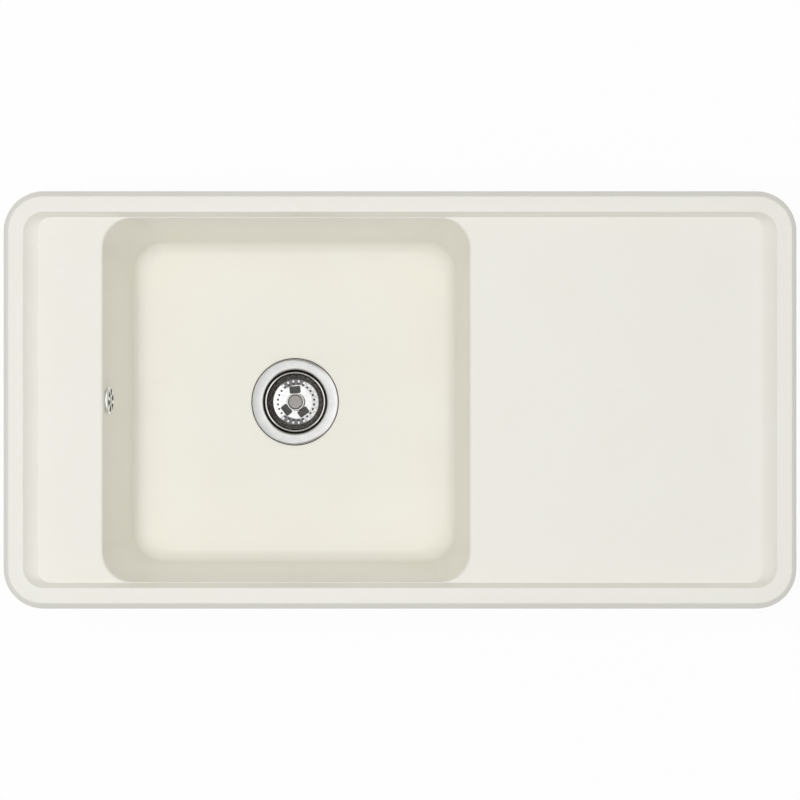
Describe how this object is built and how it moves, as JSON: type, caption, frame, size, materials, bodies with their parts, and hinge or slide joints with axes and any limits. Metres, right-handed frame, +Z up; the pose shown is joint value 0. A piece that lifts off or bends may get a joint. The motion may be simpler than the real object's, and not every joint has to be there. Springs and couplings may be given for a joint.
{
  "type": "kitchen sink",
  "caption": "Inset kitchen sink with a square bowl, a shelf and a plain drainer, a lift-out basket waste, an overflow with its pipe, and fixing claws that swing under the worktop.",
  "frame": {"origin": "middle of the rim's outline, on the underside of the rim's seal, which rests on the worktop", "axes": "+X along the sink from the bowl to the drainer, +Y to the back, +Z up"},
  "size_m": [0.95, 0.5, 0.294],
  "materials": {
    "cream_composite": "satin, moulded quartz and resin",
    "polished_steel": "polished stainless steel",
    "brushed_knob": "brushed stainless steel",
    "bright_chrome": "bright",
    "zinc_steel": "zinc-plated steel",
    "brass": "plain",
    "black_rubber": "matte",
    "foam_rubber": "matte, closed-cell foam",
    "white_plastic": "moulded, satin"
  },
  "bodies": {
    "root": {"sink_body": "cream_composite", "rim_seal": "foam_rubber", "clip_inserts": "brass", "clip_screws": "zinc_steel", "strainer_dish": "polished_steel", "flange_gasket": "black_rubber", "waste_gasket": "black_rubber", "waste_housing": "white_plastic", "bolt_insert": "brass", "centre_bolt": "polished_steel", "overflow_cover": "bright_chrome", "overflow_screw": "polished_steel", "overflow_gasket": "black_rubber", "overflow_elbow": "white_plastic", "overflow_insert": "brass", "overflow_pipe": "white_plastic", "upper_pipe_seal": "black_rubber", "lower_pipe_seal": "black_rubber", "upper_pipe_nut": "white_plastic", "lower_pipe_nut": "white_plastic"},
    "basket": {"basket_cup": "polished_steel", "basket_knob": "brushed_knob", "basket_stem": "polished_steel", "basket_seal": "black_rubber", "seal_washer": "polished_steel", "stem_clip": "brass"},
    "claw_front_left": {"claw_front_left": "zinc_steel"},
    "claw_front_middle": {"claw_front_middle": "zinc_steel"},
    "claw_front_right": {"claw_front_right": "zinc_steel"},
    "claw_back_left": {"claw_back_left": "zinc_steel"},
    "claw_back_middle": {"claw_back_middle": "zinc_steel"},
    "claw_back_right": {"claw_back_right": "zinc_steel"},
    "claw_end_front": {"claw_end_front": "zinc_steel"},
    "claw_end_back": {"claw_end_back": "zinc_steel"}
  },
  "joints": [
    {"name": "basket_lift", "type": "slide", "parent": "root", "child": "basket", "axis": [0, 0, 1], "range_m": [0, 0.05]},
    {"name": "swing_front_left", "type": "hinge", "parent": "root", "child": "claw_front_left", "pos_m": [-0.4155, -0.214, -0.054], "axis": [0, 0, 1], "range_deg": [0, 90]},
    {"name": "swing_front_middle", "type": "hinge", "parent": "root", "child": "claw_front_middle", "pos_m": [0.142, -0.214, -0.054], "axis": [0, 0, 1], "range_deg": [0, 90]},
    {"name": "swing_front_right", "type": "hinge", "parent": "root", "child": "claw_front_right", "pos_m": [0.33, -0.214, -0.054], "axis": [0, 0, 1], "range_deg": [0, 90]},
    {"name": "swing_back_left", "type": "hinge", "parent": "root", "child": "claw_back_left", "pos_m": [-0.4155, 0.214, -0.054], "axis": [0, 0, 1], "range_deg": [0, 90]},
    {"name": "swing_back_middle", "type": "hinge", "parent": "root", "child": "claw_back_middle", "pos_m": [0.142, 0.214, -0.054], "axis": [0, 0, 1], "range_deg": [0, 90]},
    {"name": "swing_back_right", "type": "hinge", "parent": "root", "child": "claw_back_right", "pos_m": [0.33, 0.214, -0.054], "axis": [0, 0, 1], "range_deg": [0, 90]},
    {"name": "swing_end_front", "type": "hinge", "parent": "root", "child": "claw_end_front", "pos_m": [0.439, -0.11, -0.054], "axis": [0, 0, 1], "range_deg": [0, 90]},
    {"name": "swing_end_back", "type": "hinge", "parent": "root", "child": "claw_end_back", "pos_m": [0.439, 0.11, -0.054], "axis": [0, 0, 1], "range_deg": [0, 90]}
  ]
}
